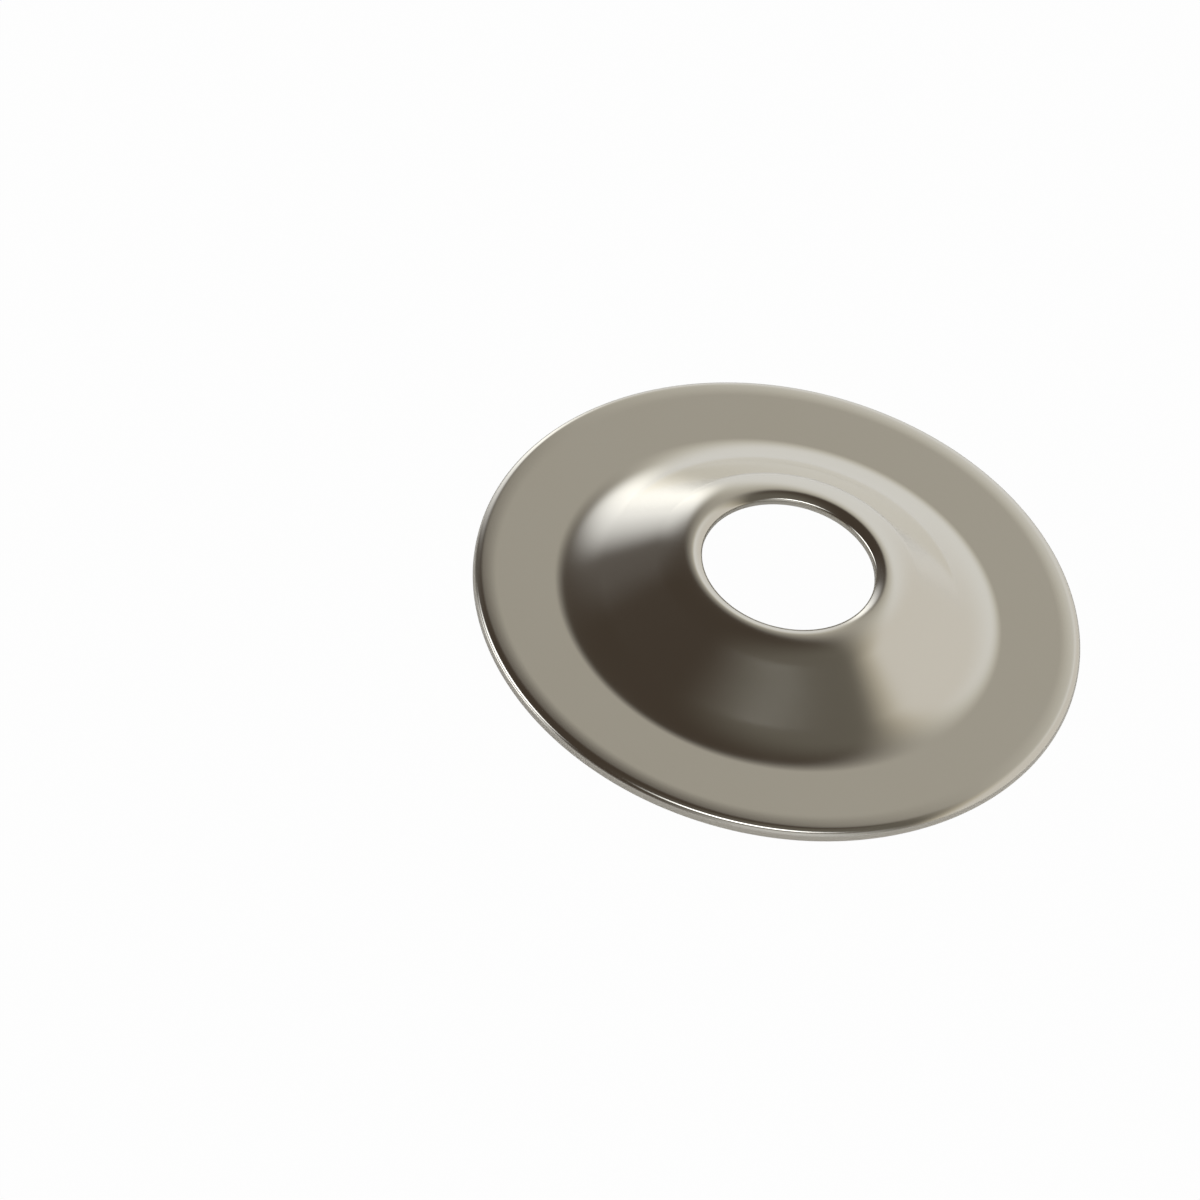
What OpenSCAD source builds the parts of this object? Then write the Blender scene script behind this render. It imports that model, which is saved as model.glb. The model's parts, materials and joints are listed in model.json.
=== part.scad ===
// Finishing cup washer, pressed in one piece from sheet metal.
// It lies on its flange with the cup upwards, and its axis is Z.
// All sizes are in millimetres.

/* [Flange] */

// Outside diameter of the flange
outer_d = 20; // [16.5:0.5:30]
// Thickness of the sheet
sheet_t = 0.6; // [0.55:0.05:1.2]

/* [Cup] */

// Height from the underside of the flange to the top of the cup
height = 2.65; // [1.5:0.05:4]
// Slope of the straight flank, as rise over run
flank_slope = 0.75; // [0.45:0.05:1.5]
// Bend radius between flange and flank, on the upper face
foot_bend_r = 2.4; // [0.2:0.1:5]
// Bend radius between flank and crest, on the upper face
crest_bend_r = 1.85; // [0.7:0.05:4]

/* [Screw hole] */

// Diameter of the screw hole
hole_d = 5.7; // [2:0.1:9]

/* [Rim edge] */

// Radius of the slow roll-off towards the rim
rim_roll_r = 6.25; // [2.5:0.25:12]
// Width of the slow roll-off towards the rim
rim_roll_w = 0.474; // [0.1:0.002:0.75]
// Radius of the rim's corners
rim_corner_r = 0.25; // [0.05:0.01:0.28]

/* [Hole edge] */

// Radius of the roll-off towards the hole
lip_roll_r = 0.5; // [0.45:0.05:1]
// Width of the roll-off towards the hole
lip_roll_w = 0.3; // [0.22:0.02:0.34]
// Radius of the hole's upper corner
lip_corner_r = 0.15; // [0.1:0.01:0.18]
// Width and depth of the chamfer on the hollow side
lip_chamfer = 0.26; // [0.05:0.01:0.27]

/* [Hidden] */

$fa = 2;
$fs = 0.04;

// The flank's direction, as sine and cosine of its angle with the flange
flank_hyp = sqrt(1 + flank_slope * flank_slope);
flank_sin = flank_slope / flank_hyp;
flank_cos = 1 / flank_hyp;

// Radius of the crest's highest circle, where the roll-off towards the hole starts
crest_r = hole_d / 2 + end_length(lip_roll_r, lip_roll_w, lip_corner_r);
// Radius at which the flat flange ends and the roll-off towards the rim starts
flat_r = outer_d / 2 - end_length(rim_roll_r, rim_roll_w, rim_corner_r);

// The straight part of the flank, between its two bends
bends_rise = (foot_bend_r + crest_bend_r) * (1 - flank_cos);
bends_run = (foot_bend_r + crest_bend_r) * flank_sin;
straight_rise = height - sheet_t - bends_rise;
straight_run = straight_rise / flank_slope;

// Radius at which the flat flange starts to bend up
foot_r = crest_r + bends_run + straight_run;

// Centres of the two bends
foot_centre = [foot_r, sheet_t + foot_bend_r];
crest_centre = [crest_r, height - crest_bend_r];

// Direction from a bend's centre to where the flank leaves the crest
flank_normal = [flank_sin, flank_cos];

// Length of a rounded end of the sheet, from where its face is still flat to its tip
function end_length(roll_r, roll_w, corner_r) = roll_w + corner_r * (1 - roll_w / roll_r);

// Depth of that rounding, from the face down to the wall at the tip
function end_depth(roll_r, roll_w, corner_r) =
    roll_r - (roll_r - corner_r) * sqrt(1 - pow(roll_w / roll_r, 2));

// A slice of a disc, between two directions less than half a turn apart
module disc_slice(r, from, to) {
    reach = 4 * r;
    intersection() {
        circle(r);
        polygon([[0, 0], reach * from, reach * (from + to), reach * to]);
    }
}

// A slice of a ring: the sheet in a bend
module bend(centre, inner_r, from, to) {
    translate(centre)
        difference() {
            disc_slice(inner_r + sheet_t, from, to);
            circle(inner_r);
        }
}

// A rounded edge of the sheet, from x = 0 to its tip, below a face at y = 0
module rolled_edge(roll_r, roll_w, corner_r) {
    roll_sin = roll_w / roll_r;
    roll_cos = sqrt(1 - roll_sin * roll_sin);
    depth = end_depth(roll_r, roll_w, corner_r);
    // the face rolls off slowly
    intersection() {
        translate([0, -depth])
            square([roll_w, depth]);
        translate([0, -roll_r])
            circle(roll_r);
    }
    // and runs into the corner
    translate([roll_w - corner_r * roll_sin, -depth])
        disc_slice(corner_r, [roll_sin, roll_cos], [1, 0]);
}

// The rim, rounded on both faces
module rim_edge() {
    depth = end_depth(rim_roll_r, rim_roll_w, rim_corner_r);
    tip = end_length(rim_roll_r, rim_roll_w, rim_corner_r);
    translate([0, sheet_t])
        rolled_edge(rim_roll_r, rim_roll_w, rim_corner_r);
    mirror([0, 1])
        rolled_edge(rim_roll_r, rim_roll_w, rim_corner_r);
    // the wall between the two roundings
    translate([0, depth])
        square([tip, sheet_t - 2 * depth]);
}

// The edge of the hole, rolled over above and chamfered on the hollow side
module hole_edge() {
    depth = end_depth(lip_roll_r, lip_roll_w, lip_corner_r);
    tip = end_length(lip_roll_r, lip_roll_w, lip_corner_r);
    translate([0, sheet_t])
        rolled_edge(lip_roll_r, lip_roll_w, lip_corner_r);
    // the short wall, and the chamfer under it
    polygon([
        [0, 0],
        [tip - lip_chamfer, 0],
        [tip, lip_chamfer],
        [tip, sheet_t - depth],
        [0, sheet_t - depth]
    ]);
}

// The section through the sheet, on one side of the axis
module section() {
    // rim
    translate([flat_r, 0])
        rim_edge();
    // flat flange
    translate([foot_r, 0])
        square([flat_r - foot_r, sheet_t]);
    // bend at the foot of the cup
    bend(foot_centre, foot_bend_r, [0, -1], -flank_normal);
    // straight flank
    polygon([
        foot_centre - foot_bend_r * flank_normal,
        crest_centre + crest_bend_r * flank_normal,
        crest_centre + (crest_bend_r - sheet_t) * flank_normal,
        foot_centre - (foot_bend_r + sheet_t) * flank_normal
    ]);
    // bend at the crest of the cup
    bend(crest_centre, crest_bend_r - sheet_t, flank_normal, [0, 1]);
    // edge of the hole
    translate([crest_r, height - sheet_t])
        mirror([1, 0])
            hole_edge();
}

module cup_washer() {
    color([0.68, 0.65, 0.59])
        rotate_extrude()
            section();
}

cup_washer();
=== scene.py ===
import functools
import json
import math

import bpy
from bpy.props import FloatProperty, FloatVectorProperty, IntProperty, PointerProperty
from bpy.types import NodeSocket, Operator, Panel, PropertyGroup
from mathutils import Matrix, Vector


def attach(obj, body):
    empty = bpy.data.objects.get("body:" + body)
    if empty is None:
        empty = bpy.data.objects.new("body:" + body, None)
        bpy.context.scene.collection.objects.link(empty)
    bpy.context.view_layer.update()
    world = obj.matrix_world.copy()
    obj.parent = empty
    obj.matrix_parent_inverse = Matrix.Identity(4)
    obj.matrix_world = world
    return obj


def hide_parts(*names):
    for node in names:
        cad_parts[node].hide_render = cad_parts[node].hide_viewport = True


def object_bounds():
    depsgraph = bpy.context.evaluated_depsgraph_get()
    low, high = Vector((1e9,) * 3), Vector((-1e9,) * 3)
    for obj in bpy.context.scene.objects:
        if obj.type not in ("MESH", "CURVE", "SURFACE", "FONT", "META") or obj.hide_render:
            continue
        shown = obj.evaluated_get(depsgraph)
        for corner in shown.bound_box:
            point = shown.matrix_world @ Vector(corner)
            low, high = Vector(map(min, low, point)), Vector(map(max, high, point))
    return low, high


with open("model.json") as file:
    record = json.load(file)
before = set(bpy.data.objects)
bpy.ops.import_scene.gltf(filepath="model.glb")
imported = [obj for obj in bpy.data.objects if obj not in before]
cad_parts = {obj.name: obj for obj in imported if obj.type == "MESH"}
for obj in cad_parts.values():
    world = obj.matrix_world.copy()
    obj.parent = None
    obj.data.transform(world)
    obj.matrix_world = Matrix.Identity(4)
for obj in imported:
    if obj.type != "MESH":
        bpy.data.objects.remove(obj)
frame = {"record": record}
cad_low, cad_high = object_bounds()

bl_info = {
    "name": "Finishing cup washer",
    "version": (1, 0, 0),
    "blender": (4, 5, 0),
    "location": "3D View > Sidebar > Washer",
    "description": "Turns a pressed cup washer from the section through its sheet",
    "category": "Mesh",
}

MM = 0.001
MICRON = 0.000001

NODE = "cup_washer"
BODY = "root"


def screw_hole_diameter():
    """Diameter of the screw hole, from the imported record."""
    for mount in frame["record"]["mounts"]:
        if mount["name"] == "screw_hole":
            return 2 * mount["dims"]["r_mm"] * MM
    raise RuntimeError("the record has no screw hole")


# Properties

STRONGEST_LAMP = 50.0
STEEPEST_FLANK = 3.0


def length(name, description, default, smallest=0.01 * MM, largest=100 * MM):
    """A property that holds a length."""
    return FloatProperty(
        name=name,
        description=description,
        default=default,
        min=smallest,
        max=largest,
        precision=6,
        unit="LENGTH",
    )


def colour(name, description, default):
    """A property that holds a colour."""
    return FloatVectorProperty(
        name=name,
        description=description,
        default=default,
        min=0,
        max=1,
        size=3,
        subtype="COLOR",
    )


def angle(name, description, degrees):
    """A property that holds an angle."""
    return FloatProperty(
        name=name,
        description=description,
        default=math.radians(degrees),
        subtype="ANGLE",
    )


def amount(name, description, default, largest=1.0):
    """A property that holds a plain number."""
    return FloatProperty(
        name=name, description=description, default=default, min=0, max=largest
    )


def radiance(name, description, default):
    """A property that holds the radiance of a lamp."""
    return amount(name, description, default, STRONGEST_LAMP)


class WasherSizes(PropertyGroup):
    """Sizes of the section through the sheet"""

    outer_diameter: length(
        "Outside diameter", "Across the flange", cad_high.x - cad_low.x
    )
    sheet_thickness: length("Sheet", "Thickness of the sheet", 0.6 * MM)
    height: length(
        "Height", "From the flange's underside to the crest", cad_high.z - cad_low.z
    )
    flank_slope: amount("Flank slope", "Rise over run of the flank", 0.75, STEEPEST_FLANK)
    foot_bend: length("Foot bend", "Upper bend radius at the flank's foot", 2.4 * MM)
    crest_bend: length("Crest bend", "Upper bend radius at the crest", 1.85 * MM)
    hole_diameter: length("Screw hole", "Across the hole", screw_hole_diameter())
    rim_roll: length("Rim roll", "Radius of the slow roll-off at the rim", 6.25 * MM)
    rim_roll_width: length("Rim roll width", "Width of that roll-off", 0.474 * MM)
    rim_corner: length("Rim corner", "Radius of the rim's corners", 0.25 * MM)
    lip_roll: length("Hole roll", "Radius of the roll-off at the hole", 0.5 * MM)
    lip_roll_width: length("Hole roll width", "Width of that roll-off", 0.3 * MM)
    lip_corner: length("Hole corner", "Radius of the hole's upper corner", 0.15 * MM)
    lip_chamfer: length("Hole chamfer", "Chamfer on the hollow side", 0.26 * MM)
    edge_break: length("Edge break", "Radius on the chamfer's two edges", 0.03 * MM)
    steps_round: IntProperty(
        name="Steps round",
        description="Steps in one turn of the section",
        default=256,
        min=16,
        max=400,
    )


class WasherFinish(PropertyGroup):
    """The satin nickel finish"""

    nickel: colour("Nickel", "The metal where its plating is clear", (0.885, 0.855, 0.785))
    warm_nickel: colour("Warm nickel", "The metal where it is warmer", (0.865, 0.832, 0.757))
    sheen: amount("Sheen roughness", "Roughness where the satin is closest", 0.125)
    dull: amount("Dull roughness", "Roughness where the satin is most open", 0.155)
    cloud_size: length("Cloud size", "Size of the patches in tone", 3.5 * MM)
    grain_size: length("Grain size", "Size of the satin grain", 0.07 * MM)
    grain_depth: length("Grain depth", "Depth of the satin grain", 0.25 * MICRON, 0)


class WasherStage(PropertyGroup):
    """Floor, light and camera"""

    floor: colour("Floor", "Colour of the floor", (1.0, 1.0, 1.0))
    floor_white: amount("Floor white", "Share of plain white that the floor shows", 0.98)
    floor_shine: amount("Floor in metal", "Share of plain white that metal shows of it", 0.1)
    floor_gloss: amount("Floor gloss", "Share that the floor mirrors at a low angle", 0.97)
    floor_satin: amount("Floor satin", "Roughness of the floor's satin face", 0.1)
    back_wall: colour("Back wall", "Light from behind", (0.692, 0.695, 0.69))
    right_wall: colour("Right wall", "Light from the right", (0.612, 0.592, 0.555))
    wall_edge: colour("Wall edge", "Tint of the lit walls' soft edge", (1.0, 0.965, 0.87))
    dark_wall: colour("Dark wall", "Light from overhead and the left", (0.055, 0.043, 0.033))
    fill_wall: colour("Fill wall", "Light from the front and the right", (0.118, 0.108, 0.09))
    lamp_tint: colour("Lamp tint", "Colour of the soft lamps", (0.95, 0.975, 1.0))
    back_lamp: radiance("Back lamp", "Radiance of the round lamp behind the left", 0.87)
    back_glow: radiance("Back glow", "Radiance of the faint glow beside that lamp", 0.052)
    front_lamp: radiance("Front lamp", "Radiance of the lamp in front", 3.0)
    side_lamp: radiance("Side lamp", "Radiance of the lamp on the left", 2.5)
    low_lamp: radiance("Low lamp", "Radiance of the wide low lamp in front", 0.45)
    floor_lamp: radiance("Floor lamp", "Radiance of the lamp that shades the floor", 0.3)
    elevation: angle("Camera elevation", "Camera's height above the floor", 45.475)
    roll: angle("Camera roll", "Turn of the picture", 14.727)
    lens: FloatProperty(
        name="Lens",
        description="Focal length of the camera",
        default=1500,
        min=50,
        max=1700,
        unit="CAMERA",
    )


# Node trees


class Graph:
    """A node tree in the making: places nodes, feeds their inputs and links them."""

    # how the nodes are laid out in the editor
    ROWS = 8
    COLUMN_STEP = 220
    ROW_STEP = 230

    def __init__(self, tree):
        self.tree = tree
        tree.nodes.clear()

    def node(self, kind, inputs=None, **settings):
        """A new node, with its settings and its inputs by name or number."""
        made = self.tree.nodes.new(kind)
        column, row = divmod(len(self.tree.nodes) - 1, self.ROWS)
        made.location = column * self.COLUMN_STEP, -row * self.ROW_STEP
        for name, value in settings.items():
            setattr(made, name, value)
        for socket, value in (inputs or {}).items():
            self.feed(made.inputs[socket], value)
        return made

    def feed(self, socket, value):
        """Links an output to a socket, or sets the socket's own value."""
        if isinstance(value, NodeSocket):
            self.tree.links.new(value, socket)
        else:
            socket.default_value = value

    def onward(self, kind, source, inputs=None, **settings):
        """What a new node makes of the source that its first input takes."""
        made = self.node(kind, {0: source} | (inputs or {}), **settings)
        return made.outputs[0]

    def calc(self, operation, *values, kind="ShaderNodeMath", output=0):
        """The outcome of one sum on numbers."""
        made = self.node(kind, dict(enumerate(values)), operation=operation)
        return made.outputs[output]

    def add(self, a, b):
        return self.calc("ADD", a, b)

    def less(self, a, b):
        return self.calc("SUBTRACT", a, b)

    def times(self, a, b):
        return self.calc("MULTIPLY", a, b)

    def over(self, a, b):
        return self.calc("DIVIDE", a, b)

    def minus(self, a):
        return self.times(a, -1)

    def vector(self, operation, *values):
        """The outcome of one sum on vectors."""
        return self.calc(operation, *values, kind="ShaderNodeVectorMath")

    def dot(self, a, b):
        return self.calc("DOT_PRODUCT", a, b, kind="ShaderNodeVectorMath", output="Value")

    def scaled(self, direction, size):
        return self.onward("ShaderNodeVectorMath", direction, {"Scale": size}, operation="SCALE")

    def point(self, across, up):
        """A point of the section: its distance from the axis and its height."""
        return self.onward("ShaderNodeCombineXYZ", across, {"Y": up})

    def ramp(self, value, start, end):
        """A soft step, from 0 where the value is at the start to 1 where it is at the end."""
        return self.onward(
            "ShaderNodeMapRange",
            value,
            {"From Min": start, "From Max": end},
            interpolation_type="SMOOTHSTEP",
        )

    def blend(self, share, first, second, form="MIX"):
        """A colour that goes from the first to the second by a share."""
        made = self.node(
            "ShaderNodeMix",
            {"Factor": share, "A": first, "B": second},
            data_type="RGBA",
            blend_type=form,
        )
        return made.outputs["Result"]


def new_tree(name, sockets):
    """A geometry tree with these named inputs and one geometry output."""
    tree = bpy.data.node_groups.new(name, "GeometryNodeTree")
    for socket_name, kind in sockets:
        tree.interface.new_socket(socket_name, in_out="INPUT", socket_type=kind)
    tree.interface.new_socket("Geometry", in_out="OUTPUT", socket_type="NodeSocketGeometry")
    graph = Graph(tree)
    given = graph.node("NodeGroupInput").outputs
    return graph, given


# The section through the sheet

NUMBER = "NodeSocketFloat"
WHOLE = "NodeSocketInt"
PLACE = "NodeSocketVector"
METAL = "NodeSocketMaterial"
PLACE_IN_SECTION = "place_in_section"
# Points of a span are numbered from its order up to this much more, short of the next span
SPAN_NUMBERS = 0.9

# Steps in a round span
BEND_STEPS = 32
CORNER_STEPS = 12
ROLL_STEPS = 8
EDGE_STEPS = 3
# A straight span stops this far from its ends, which the round spans beside it already hold
HOLD = 0.01 * MM

# Directions in the section, turned from outwards towards up
RIGHT_ANGLE = math.pi / 2
STRAIGHT_ANGLE = math.pi
CHAMFER_FACE = -0.75 * math.pi
# From an edge of the chamfer to where its break starts, for a break of radius one
EDGE_SHIFT = math.sqrt(2) - 1


def finish_span(graph, curve, order):
    """Numbers the points of a span by their place in the section, and gives the span out."""
    along = graph.node("GeometryNodeSplineParameter").outputs["Factor"]
    span = graph.onward(
        "GeometryNodeStoreNamedAttribute",
        curve,
        {
            "Name": PLACE_IN_SECTION,
            "Value": graph.add(order, graph.times(along, SPAN_NUMBERS)),
        },
        data_type="FLOAT",
        domain="POINT",
    )
    graph.node("NodeGroupOutput", {"Geometry": span})


def round_tree():
    """Tree for one round span of the section."""
    graph, given = new_tree(
        "Round span",
        [
            ("Centre", PLACE),
            ("Radius", NUMBER),
            ("From", NUMBER),
            ("To", NUMBER),
            ("Steps", WHOLE),
            ("Order", NUMBER),
        ],
    )
    arc = graph.node(
        "GeometryNodeCurveArc",
        {
            "Resolution": graph.add(given["Steps"], 1),
            "Radius": given["Radius"],
            "Start Angle": given["From"],
            "Sweep Angle": graph.less(given["To"], given["From"]),
        },
        mode="RADIUS",
    )
    moved = graph.onward(
        "GeometryNodeSetPosition", arc.outputs["Curve"], {"Offset": given["Centre"]}
    )
    finish_span(graph, moved, given["Order"])
    return graph.tree


def straight_tree():
    """Tree for one straight span of the section, held just short of its ends."""
    graph, given = new_tree(
        "Straight span",
        [("Start", PLACE), ("End", PLACE), ("Hold", NUMBER), ("Order", NUMBER)],
    )
    way = graph.vector("NORMALIZE", graph.vector("SUBTRACT", given["End"], given["Start"]))
    hold = graph.scaled(way, given["Hold"])
    line = graph.node(
        "GeometryNodeCurvePrimitiveLine",
        {
            "Start": graph.vector("ADD", given["Start"], hold),
            "End": graph.vector("SUBTRACT", given["End"], hold),
        },
        mode="POINTS",
    )
    finish_span(graph, line.outputs[0], given["Order"])
    return graph.tree


class Section:
    """Outline of the sheet: its spans in order, round the section once."""

    def __init__(self, graph):
        self.graph = graph
        self.round_tree = round_tree()
        self.straight_tree = straight_tree()
        self.spans = []

    def add_span(self, tree, values):
        """Adds a span, which comes after those that are there."""
        inputs = values | {"Order": float(len(self.spans))}
        span = self.graph.node("GeometryNodeGroup", inputs, node_tree=tree)
        self.spans.append(span.outputs[0])

    def round_span(self, centre, radius, start, end, steps):
        """Adds an arc about a centre, from one direction to another."""
        values = {"Centre": centre, "Radius": radius, "From": start, "To": end, "Steps": steps}
        self.add_span(self.round_tree, values)

    def straight_span(self, start, end):
        """Adds a line from one point to another."""
        self.add_span(self.straight_tree, {"Start": start, "End": end, "Hold": HOLD})

    def outline(self):
        """One closed curve through all spans."""
        graph = self.graph
        joined = graph.node("GeometryNodeJoinGeometry")
        for span in self.spans:
            graph.feed(joined.inputs[0], span)
        points = graph.onward("GeometryNodeCurveToPoints", joined.outputs[0], mode="EVALUATED")
        order = graph.node(
            "GeometryNodeInputNamedAttribute", {"Name": PLACE_IN_SECTION}, data_type="FLOAT"
        )
        curve = graph.onward(
            "GeometryNodePointsToCurves", points, {"Weight": order.outputs["Attribute"]}
        )
        unmarked = graph.onward("GeometryNodeRemoveAttribute", curve, {"Name": PLACE_IN_SECTION})
        return graph.onward("GeometryNodeSetSplineCyclic", unmarked, {"Cyclic": True})


class SheetEnd:
    """A rounded end of the sheet, by its own sizes, from where its faces are still flat."""

    def __init__(self, graph, sheet, roll, roll_width, corner):
        self.roll = roll
        self.corner = corner
        sine = graph.over(roll_width, roll)
        self.turn = graph.calc("ARCSINE", sine)
        cosine = graph.calc("COSINE", self.turn)
        self.corner_across = graph.less(roll_width, graph.times(corner, sine))
        drop = graph.times(roll, graph.less(1, cosine))
        self.corner_up = graph.less(graph.less(sheet, drop), graph.times(corner, cosine))
        self.corner_down = graph.less(sheet, self.corner_up)
        self.length = graph.add(self.corner_across, corner)


def washer_outline(graph, given, outer_r):
    """The outline of the section, from the upper side of the rim round to there again."""
    section = Section(graph)
    point, add, less, minus = graph.point, graph.add, graph.less, graph.minus
    sheet, height = given["Sheet"], given["Height"]
    foot_bend, crest_bend = given["Foot bend"], given["Crest bend"]
    chamfer, edge = given["Hole chamfer"], given["Edge break"]
    rim = SheetEnd(graph, sheet, given["Rim roll"], given["Rim roll width"], given["Rim corner"])
    lip = SheetEnd(graph, sheet, given["Hole roll"], given["Hole roll width"], given["Hole corner"])

    hole_r = graph.times(given["Screw hole"], 0.5)
    flat_r = less(outer_r, rim.length)
    crest_r = add(hole_r, lip.length)
    crest_under = less(height, sheet)

    # the flank, between its two bends
    lean = graph.calc("ARCTANGENT", given["Flank slope"])
    lean_sine = graph.calc("SINE", lean)
    lean_cosine = graph.calc("COSINE", lean)
    both_bends = add(foot_bend, crest_bend)
    bends_rise = graph.times(both_bends, less(1, lean_cosine))
    flank_run = graph.over(less(crest_under, bends_rise), given["Flank slope"])
    foot_r = add(add(crest_r, flank_run), graph.times(both_bends, lean_sine))
    foot_under = add(sheet, foot_bend)
    crest_inner = less(crest_bend, sheet)
    foot = point(foot_r, foot_under)
    crest = point(crest_r, less(height, crest_bend))
    flank_face = less(RIGHT_ANGLE, lean)
    flank_under = less(-RIGHT_ANGLE, lean)
    off_flank = point(lean_sine, lean_cosine)

    def on_flank(centre, reach):
        """Where the flank meets a bend, by the bend's centre and its radius."""
        return graph.vector("ADD", centre, graph.scaled(off_flank, reach))

    # rim, from the upper face round to the lower one
    rim_face = less(RIGHT_ANGLE, rim.turn)
    rim_under = minus(rim_face)
    rim_corner_r = add(flat_r, rim.corner_across)
    upper_roll = point(flat_r, less(sheet, rim.roll))
    upper_corner = point(rim_corner_r, rim.corner_up)
    lower_corner = point(rim_corner_r, rim.corner_down)
    lower_roll = point(flat_r, rim.roll)
    section.round_span(upper_roll, rim.roll, RIGHT_ANGLE, rim_face, ROLL_STEPS)
    section.round_span(upper_corner, rim.corner, rim_face, 0.0, CORNER_STEPS)
    section.straight_span(point(outer_r, rim.corner_up), point(outer_r, rim.corner_down))
    section.round_span(lower_corner, rim.corner, 0.0, rim_under, CORNER_STEPS)
    section.round_span(lower_roll, rim.roll, rim_under, -RIGHT_ANGLE, ROLL_STEPS)

    # under the flange, and up the hollow side
    section.straight_span(point(flat_r, 0.0), point(foot_r, 0.0))
    section.round_span(foot, foot_under, -RIGHT_ANGLE, flank_under, BEND_STEPS)
    section.straight_span(on_flank(foot, minus(foot_under)), on_flank(crest, crest_inner))
    section.round_span(crest, crest_inner, flank_face, RIGHT_ANGLE, BEND_STEPS)

    # edge of the hole: along the lower face, up the chamfer and the wall, over to the upper face
    edge_shift = graph.times(edge, EDGE_SHIFT)
    break_r = add(add(hole_r, chamfer), edge_shift)
    break_up = add(add(crest_under, chamfer), edge_shift)
    lip_face = add(RIGHT_ANGLE, lip.turn)
    lip_up = add(crest_under, lip.corner_up)
    lower_break = point(break_r, add(crest_under, edge))
    upper_break = point(add(hole_r, edge), break_up)
    lip_corner = point(less(crest_r, lip.corner_across), lip_up)
    lip_roll = point(crest_r, less(height, lip.roll))
    section.straight_span(point(crest_r, crest_under), point(break_r, crest_under))
    section.round_span(lower_break, edge, -RIGHT_ANGLE, CHAMFER_FACE, EDGE_STEPS)
    section.round_span(upper_break, edge, CHAMFER_FACE, -STRAIGHT_ANGLE, EDGE_STEPS)
    section.straight_span(point(hole_r, break_up), point(hole_r, lip_up))
    section.round_span(lip_corner, lip.corner, STRAIGHT_ANGLE, lip_face, CORNER_STEPS)
    section.round_span(lip_roll, lip.roll, lip_face, RIGHT_ANGLE, ROLL_STEPS)

    # over the crest, down the flank and out to the rim
    section.round_span(crest, crest_bend, RIGHT_ANGLE, flank_face, BEND_STEPS)
    section.straight_span(on_flank(crest, crest_bend), on_flank(foot, minus(foot_bend)))
    section.round_span(foot, foot_bend, flank_under, -RIGHT_ANGLE, BEND_STEPS)
    section.straight_span(point(foot_r, sheet), point(flat_r, sheet))
    return section.outline()


# The washer's tree: its inputs, and the sizes that they take
SIZE_INPUTS = {
    "Outside diameter": "outer_diameter",
    "Sheet": "sheet_thickness",
    "Height": "height",
    "Flank slope": "flank_slope",
    "Foot bend": "foot_bend",
    "Crest bend": "crest_bend",
    "Screw hole": "hole_diameter",
    "Rim roll": "rim_roll",
    "Rim roll width": "rim_roll_width",
    "Rim corner": "rim_corner",
    "Hole roll": "lip_roll",
    "Hole roll width": "lip_roll_width",
    "Hole corner": "lip_corner",
    "Hole chamfer": "lip_chamfer",
    "Edge break": "edge_break",
}
STEPS_INPUT = "Steps round"
METAL_INPUT = "Metal"
# The section is flipped before it is carried round, so that the faces point outwards
FLIPPED = (1.0, -1.0, 1.0)
# Points closer than this are merged into one
SAME_POINT = 0.1 * MICRON


def washer_tree():
    """Tree that turns the section of the sheet about the axis."""
    sockets = [(name, NUMBER) for name in SIZE_INPUTS]
    sockets += [(STEPS_INPUT, WHOLE), (METAL_INPUT, METAL)]
    graph, given = new_tree("Turned washer", sockets)
    outer_r = graph.times(given["Outside diameter"], 0.5)
    outline = washer_outline(graph, given, outer_r)

    # the outline is carried once round the circle of the rim
    circle = graph.node(
        "GeometryNodeCurvePrimitiveCircle",
        {"Resolution": given[STEPS_INPUT], "Radius": outer_r},
        mode="RADIUS",
    )
    path = graph.onward("GeometryNodeSetCurveNormal", circle.outputs["Curve"], mode="Z_UP")
    to_rim = graph.point(graph.minus(outer_r), 0.0)
    from_rim = graph.onward("GeometryNodeSetPosition", outline, {"Offset": to_rim})
    profile = graph.onward("GeometryNodeTransform", from_rim, {"Scale": FLIPPED})
    turned = graph.onward(
        "GeometryNodeCurveToMesh", path, {"Profile Curve": profile, "Fill Caps": False}
    )
    merged = graph.onward("GeometryNodeMergeByDistance", turned, {"Distance": SAME_POINT})
    smooth = graph.onward("GeometryNodeSetShadeSmooth", merged, {"Shade Smooth": True})
    whole = graph.onward("GeometryNodeRealizeInstances", smooth)
    dressed = graph.onward("GeometryNodeSetMaterial", whole, {"Material": given[METAL_INPUT]})
    graph.node("NodeGroupOutput", {"Geometry": dressed})
    return graph.tree


# Materials

# Finer layers of the two noises in the finish: how many, and how strong
CLOUD_LAYERS = {"Detail": 3.0, "Roughness": 0.55}
GRAIN_LAYERS = {"Detail": 2.0, "Roughness": 0.5}
# Values of the clouds at which the satin is closest and most open
CLOSE_SATIN = 0.3
OPEN_SATIN = 0.7

# One less the sine of the angle above the floor at which its gloss starts and is full
GLOSS_START = 0.6
GLOSS_FULL = 0.88
# At this blend, the facing of a layer weight is one less that sine
PLAIN_FACING = 0.5


def opaque(rgb):
    """The four channels of a colour that isn't see-through."""
    return (*rgb, 1.0)


def new_material(name):
    """A material without nodes yet, and the graph that takes them."""
    material = bpy.data.materials.new(name)
    material.use_nodes = True
    return material, Graph(material.node_tree)


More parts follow.
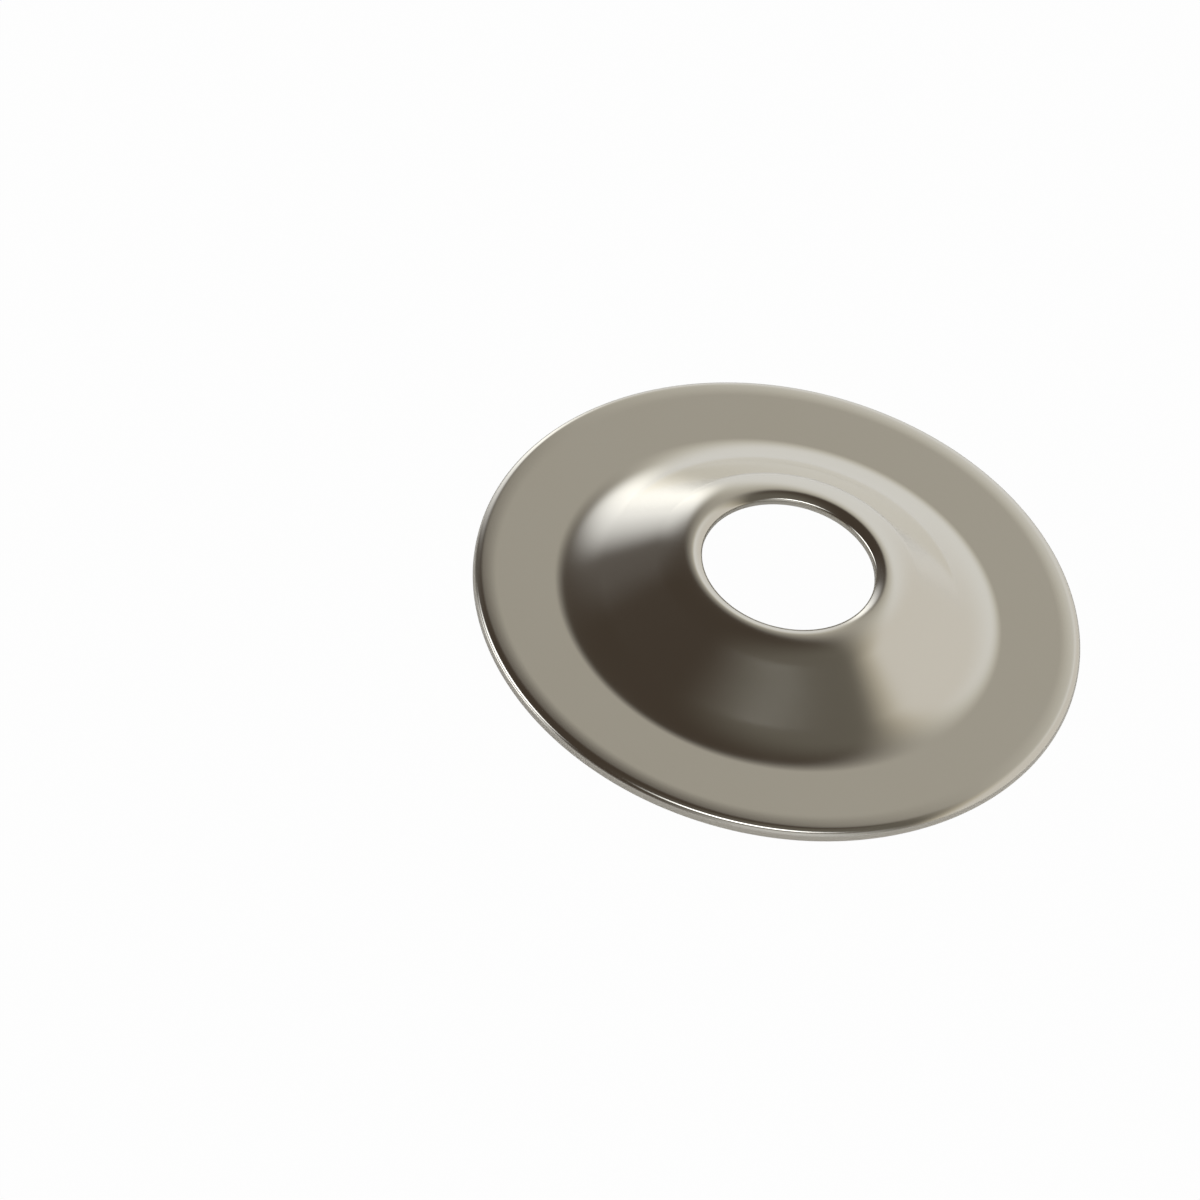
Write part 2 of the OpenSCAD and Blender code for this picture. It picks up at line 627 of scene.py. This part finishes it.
def satin_nickel(finish):
    """Pressed sheet with a satin nickel plating: soft clouds of tone and a fine grain."""
    material, graph = new_material("satin_nickel")
    where = graph.node("ShaderNodeTexCoord").outputs["Object"]

    def noise(size, layers):
        """A noise of this size, all through the sheet."""
        return graph.onward("ShaderNodeTexNoise", where, {"Scale": 1 / size} | layers)

    clouds = noise(finish.cloud_size, CLOUD_LAYERS)
    grain = noise(finish.grain_size, GRAIN_LAYERS)
    gloss = graph.onward(
        "ShaderNodeMapRange",
        clouds,
        {
            "From Min": CLOSE_SATIN,
            "From Max": OPEN_SATIN,
            "To Min": finish.sheen,
            "To Max": finish.dull,
        },
    )
    relief = graph.node(
        "ShaderNodeBump", {"Strength": 1.0, "Distance": finish.grain_depth, "Height": grain}
    )
    shader = graph.node(
        "ShaderNodeBsdfPrincipled",
        {
            "Base Color": graph.blend(clouds, opaque(finish.warm_nickel), opaque(finish.nickel)),
            "Metallic": 1.0,
            "Roughness": gloss,
            "Normal": relief.outputs[0],
        },
    )
    graph.node("ShaderNodeOutputMaterial", {"Surface": shader.outputs[0]})
    return material


def white_floor(stage):
    """Floor that shows as plain white, still takes the shadow, and is glossy at a low angle."""
    material, graph = new_material("white_floor")
    matt = graph.node("ShaderNodeBsdfDiffuse", {"Color": opaque(stage.floor)})
    gloss = graph.node(
        "ShaderNodeBsdfAnisotropic",
        {"Color": opaque([stage.floor_gloss] * 3), "Roughness": stage.floor_satin},
    )
    facing = graph.node("ShaderNodeLayerWeight", {"Blend": PLAIN_FACING}).outputs["Facing"]
    low = graph.ramp(facing, GLOSS_START, GLOSS_FULL)
    face = graph.onward("ShaderNodeMixShader", low, {1: matt.outputs[0], 2: gloss.outputs[0]})

    ray = graph.node("ShaderNodeLightPath").outputs
    seen = graph.times(ray["Is Camera Ray"], stage.floor_white)
    mirrored = graph.calc("MAXIMUM", ray["Is Glossy Ray"], ray["Is Transmission Ray"])
    mirrored = graph.times(mirrored, stage.floor_shine)
    plain = graph.calc("MAXIMUM", seen, mirrored)
    white = graph.node("ShaderNodeEmission", {"Color": opaque(stage.floor), "Strength": 1.0})
    shown = graph.onward("ShaderNodeMixShader", plain, {1: face, 2: white.outputs[0]})
    graph.node("ShaderNodeOutputMaterial", {"Surface": shown})
    return material


# Pieces


def made_mesh(piece):
    """Turns what the piece's modifiers make into its own plain mesh."""
    depsgraph = bpy.context.evaluated_depsgraph_get()
    shaped = piece.evaluated_get(depsgraph)
    plain = bpy.data.meshes.new_from_object(
        shaped, preserve_all_data_layers=True, depsgraph=depsgraph
    )
    if not plain.polygons:
        raise RuntimeError(f"{piece.name} came out empty")
    piece.modifiers.clear()
    piece.data = plain
    plain.name = piece.name


class WASHER_OT_turn_sheet(Operator):
    """Turn the washer from the section through its sheet"""

    bl_idname = "washer.turn_sheet"
    bl_label = "Turn washer"

    def execute(self, context):
        sizes = context.scene.washer_sizes
        metal = satin_nickel(context.scene.washer_finish)
        tree = washer_tree()
        piece = bpy.data.objects.new("washer_sheet", bpy.data.meshes.new("washer_sheet"))
        context.scene.collection.objects.link(piece)
        turning = piece.modifiers.new("Turned washer", "NODES")
        turning.node_group = tree
        known = {s.name: s.identifier for s in tree.interface.items_tree if s.in_out == "INPUT"}
        for name, prop in SIZE_INPUTS.items():
            turning[known[name]] = getattr(sizes, prop)
        turning[known[STEPS_INPUT]] = sizes.steps_round
        turning[known[METAL_INPUT]] = metal
        made_mesh(piece)
        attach(piece, BODY)
        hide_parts(NODE)
        return {"FINISHED"}


# Stage

# Where the photograph has the washer, in its pixels: the foot of the axis and the rim's radius
PHOTO_SIDE = 1200
AXIS_FOOT_PX = (774.999, 617.29)
RIM_PX = 308.523
# Width of the camera's sensor, in millimetres
SENSOR = 36.0
# From the axis to the sides of the floor, in metres
FLOOR_REACH = 4.0

# Soft steps in the light of the walls. Each goes by a direction, as azimuth and elevation in
# degrees, and by the cosines of the angles from there at which it starts and ends
FILL_STEP = (123, 15), (-0.04, 0.57)
RIGHT_STEP = (90, 0), (0.1, 0.62)
LIT_STEP = (43.4, -12.9), (0.152, 0.528)
# A share times the rest of it is a quarter at most, so four of them are one halfway
HALFWAY_GAIN = 4

# Soft lamps: azimuth and elevation in degrees, then half width and half height as sines
SOFT_LAMPS = {
    "front_lamp": (174, 46, 0.54, 0.17),
    "side_lamp": (-93, 14, 0.55, 0.2),
    "low_lamp": (158, 10, 0.7, 0.4),
}
# Share of its half width and half height within which a soft lamp is full
LAMP_CORE = 0.2
# Cosine of the angle from its middle at which a soft lamp is sure to lie ahead
LAMP_AHEAD = 0.2

# Round lamps behind the left: azimuth and elevation of the middle, then the angles from there
# at which the lamp ends and is full, in degrees
ROUND_LAMPS = {
    "back_lamp": (-10, 5, 40, 15),
    "back_glow": (-30, 0, 54, 25),
}
# Their straight edge towards the right, as a step like those of the walls
CUT_STEP = (90, -12), (-0.26, -0.42)

# The lamp over the floor: azimuth and elevation in degrees, then its side and distance in metres
FLOOR_LAMP_WAY = (40, 55)
FLOOR_LAMP_SIDE = 0.4
FLOOR_LAMP_DISTANCE = 0.6


def heading(azimuth, elevation):
    """Direction by its azimuth from straight behind towards the right, and its elevation."""
    a, e = math.radians(azimuth), math.radians(elevation)
    return Vector((math.sin(a) * math.cos(e), math.cos(a) * math.cos(e), math.sin(e)))


def lay_floor(stage):
    """A wide white floor under the flange."""
    reach = FLOOR_REACH
    corners = [(-reach, -reach, 0), (reach, -reach, 0), (reach, reach, 0), (-reach, reach, 0)]
    mesh = bpy.data.meshes.new("floor")
    mesh.from_pydata(corners, [], [(0, 1, 2, 3)])
    mesh.materials.append(white_floor(stage))
    floor = bpy.data.objects.new("floor", mesh)
    bpy.context.scene.collection.objects.link(floor)


def light_world(stage):
    """Soft walls and lamps: bright behind and to the right, dark overhead and to the left."""
    world = bpy.data.worlds.new("studio")
    bpy.context.scene.world = world
    world.use_nodes = True
    graph = Graph(world.node_tree)
    way = graph.node("ShaderNodeTexCoord").outputs["Generated"]

    def along(direction):
        return graph.dot(way, tuple(direction))

    def step(place, edges):
        return graph.ramp(along(heading(*place)), *edges)

    overhead = graph.blend(step(*FILL_STEP), opaque(stage.dark_wall), opaque(stage.fill_wall))
    lit = graph.blend(step(*RIGHT_STEP), opaque(stage.back_wall), opaque(stage.right_wall))
    behind = step(*LIT_STEP)
    walls = graph.blend(behind, overhead, lit)
    halfway = graph.times(graph.times(behind, graph.less(1, behind)), HALFWAY_GAIN)
    walls = graph.blend(halfway, walls, opaque(stage.wall_edge), "MULTIPLY")
    room = graph.node("ShaderNodeBackground", {"Color": walls, "Strength": 1.0})

    def soft_lamp(azimuth, elevation, wide, high):
        """Share of a soft lamp in a direction: all of it at its core, and none past its edges."""
        middle, side = heading(azimuth, elevation), heading(azimuth + 90, 0)
        aside = graph.calc("ABSOLUTE", along(side))
        above = graph.calc("ABSOLUTE", along(side.cross(middle)))
        ahead = graph.ramp(along(middle), 0.0, LAMP_AHEAD)
        across = graph.times(graph.ramp(aside, wide, LAMP_CORE * wide), ahead)
        return graph.times(graph.ramp(above, high, LAMP_CORE * high), across)

    cut = step(*CUT_STEP)

    def round_lamp(azimuth, elevation, end, full):
        """Share of a round lamp in a direction, left of its straight edge."""
        edges = math.cos(math.radians(end)), math.cos(math.radians(full))
        return graph.times(step((azimuth, elevation), edges), cut)

    shares = {prop: soft_lamp(*place) for prop, place in SOFT_LAMPS.items()}
    shares |= {prop: round_lamp(*place) for prop, place in ROUND_LAMPS.items()}
    each = [graph.times(share, getattr(stage, prop)) for prop, share in shares.items()]
    lamps = graph.node(
        "ShaderNodeBackground",
        {"Color": opaque(stage.lamp_tint), "Strength": functools.reduce(graph.add, each)},
    )
    both = graph.onward("ShaderNodeAddShader", room.outputs[0], {1: lamps.outputs[0]})
    graph.node("ShaderNodeOutputWorld", {"Surface": both})


def hang_floor_lamp(stage):
    """A large soft lamp that shades the floor, and that the metal doesn't show."""
    direction = heading(*FLOOR_LAMP_WAY)
    lamp = bpy.data.lights.new("floor_lamp", "AREA")
    lamp.size = FLOOR_LAMP_SIDE
    lamp.energy = stage.floor_lamp * math.pi * FLOOR_LAMP_SIDE**2
    hung = bpy.data.objects.new("floor_lamp", lamp)
    hung.location = direction * FLOOR_LAMP_DISTANCE
    hung.rotation_euler = direction.to_track_quat("Z", "Y").to_euler()
    hung.visible_camera = False
    hung.visible_glossy = False
    bpy.context.scene.collection.objects.link(hung)


def place_camera(stage, rim_r):
    """Camera at the photograph's angle, with the washer where the photograph has it."""
    e, r = stage.elevation, stage.roll
    back = Vector((0, -math.cos(e), math.sin(e)))
    level_up = Vector((0, math.sin(e), math.cos(e)))
    level_right = Vector((1, 0, 0))
    right = math.cos(r) * level_right + math.sin(r) * level_up
    up = math.cos(r) * level_up - math.sin(r) * level_right
    focal_px = stage.lens / SENSOR * PHOTO_SIDE
    distance = focal_px * rim_r / RIM_PX
    per_px = distance / focal_px
    to_right = (AXIS_FOOT_PX[0] - PHOTO_SIDE / 2) * per_px
    to_bottom = (AXIS_FOOT_PX[1] - PHOTO_SIDE / 2) * per_px
    location = back * distance - right * to_right + up * to_bottom
    lens = bpy.data.cameras.new("camera")
    lens.sensor_width = SENSOR
    lens.lens = stage.lens
    camera = bpy.data.objects.new("camera", lens)
    turn = Matrix((right, up, back)).transposed().to_4x4()
    camera.matrix_world = Matrix.Translation(location) @ turn
    bpy.context.scene.collection.objects.link(camera)
    bpy.context.scene.camera = camera


class WASHER_OT_set_stage(Operator):
    """Lay the floor, hang the lights and place the camera"""

    bl_idname = "washer.set_stage"
    bl_label = "Set stage"

    def execute(self, context):
        stage = context.scene.washer_stage
        lay_floor(stage)
        light_world(stage)
        hang_floor_lamp(stage)
        place_camera(stage, context.scene.washer_sizes.outer_diameter / 2)
        context.scene.view_settings.view_transform = "Standard"
        return {"FINISHED"}


class WASHER_PT_panel(Panel):
    """The washer's sizes, finish and stage"""

    bl_label = "Cup washer"
    bl_idname = "WASHER_PT_panel"
    bl_space_type = "VIEW_3D"
    bl_region_type = "UI"
    bl_category = "Washer"

    def draw(self, context):
        groups = (
            (WASHER_OT_turn_sheet.bl_idname, ("washer_sizes", "washer_finish")),
            (WASHER_OT_set_stage.bl_idname, ("washer_stage",)),
        )
        for operator, holders in groups:
            box = self.layout.box()
            box.operator(operator)
            for holder in holders:
                group = getattr(context.scene, holder)
                for prop in group.__annotations__:
                    box.prop(group, prop)


CLASSES = (
    WasherSizes,
    WasherFinish,
    WasherStage,
    WASHER_OT_turn_sheet,
    WASHER_OT_set_stage,
    WASHER_PT_panel,
)


def register():
    for made in CLASSES:
        bpy.utils.register_class(made)
    bpy.types.Scene.washer_sizes = PointerProperty(type=WasherSizes)
    bpy.types.Scene.washer_finish = PointerProperty(type=WasherFinish)
    bpy.types.Scene.washer_stage = PointerProperty(type=WasherStage)


def unregister():
    del bpy.types.Scene.washer_stage
    del bpy.types.Scene.washer_finish
    del bpy.types.Scene.washer_sizes
    for made in reversed(CLASSES):
        bpy.utils.unregister_class(made)


def main():
    register()
    bpy.ops.washer.turn_sheet()
    bpy.ops.washer.set_stage()


if __name__ == "__main__":
    main()
